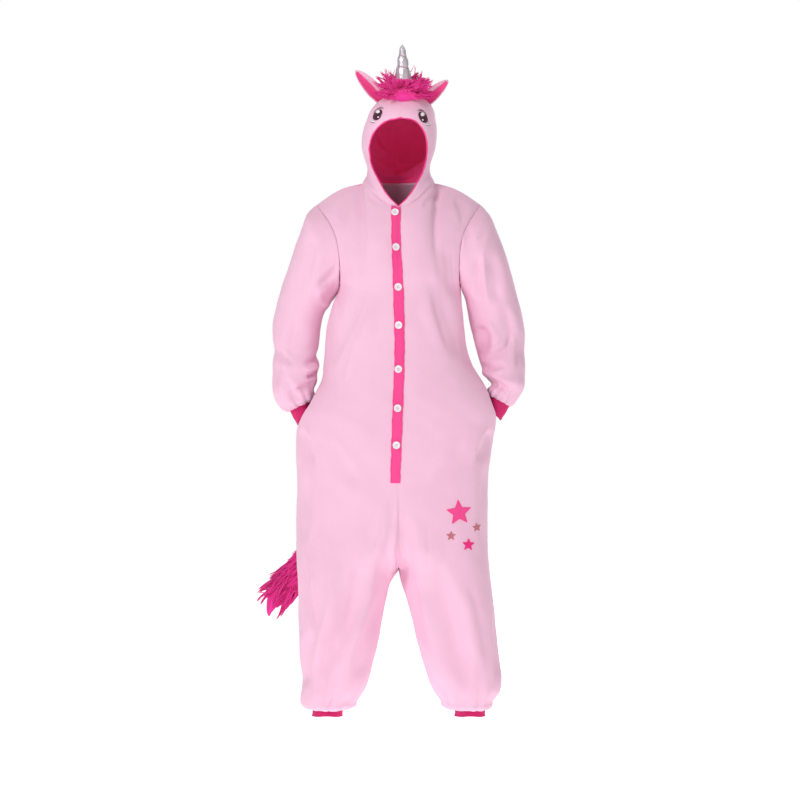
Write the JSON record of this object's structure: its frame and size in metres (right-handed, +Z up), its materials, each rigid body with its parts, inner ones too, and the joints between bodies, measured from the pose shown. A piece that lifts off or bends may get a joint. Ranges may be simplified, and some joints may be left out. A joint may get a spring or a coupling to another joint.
{
  "type": "unicorn costume",
  "caption": "Hooded one-piece unicorn costume in pale pink fleece with a hot pink button band, horn, ears, mane and tail",
  "frame": {"origin": "middle of the neck at the level of the collar seam, where the wearer holds the suit up", "axes": "+Z up, the front with the button band faces -Y, the wearer's left is +X"},
  "size_m": [0.7687, 0.5137, 1.9255],
  "materials": {
    "fleece_pink": "soft brushed fleece",
    "fleece_hot_pink": "soft brushed fleece",
    "fur_magenta": "long pile fur",
    "rib_magenta": "ribbed knit",
    "felt_rose": "felt",
    "felt_magenta": "felt",
    "horn_silver": "metallic lame cloth over stuffing",
    "eye_dark": "satin stitch embroidery",
    "button_white": "moulded buttons"
  },
  "bodies": {
    "root": {"ankle_cuff_left": "rib_magenta", "ankle_cuff_right": "rib_magenta", "back_left": "fleece_pink", "back_right": "fleece_pink", "button_1": "button_white", "button_2": "button_white", "button_3": "button_white", "button_4": "button_white", "button_5": "button_white", "button_6": "button_white", "button_7": "button_white", "ear_left_inner": "fleece_hot_pink", "ear_left_outer": "fleece_pink", "ear_right_inner": "fleece_hot_pink", "ear_right_outer": "fleece_pink", "eye_left": "eye_dark", "eye_right": "eye_dark", "front_left": "fleece_pink", "front_right": "fleece_pink", "hood_left": "fleece_pink", "hood_lining": "fleece_hot_pink", "hood_right": "fleece_pink", "horn": "horn_silver", "mane": "fur_magenta", "placket": "fleece_hot_pink", "placket_underlap": "fleece_hot_pink", "pocket_bag_left": "fleece_pink", "pocket_bag_right": "fleece_pink", "sleeve_left": "fleece_pink", "sleeve_right": "fleece_pink", "star_large": "fleece_hot_pink", "star_medium": "felt_magenta", "star_small_lower": "felt_rose", "star_small_upper": "felt_rose", "tail": "fur_magenta", "wrist_cuff_left": "rib_magenta", "wrist_cuff_right": "rib_magenta"}
  },
  "joints": []
}
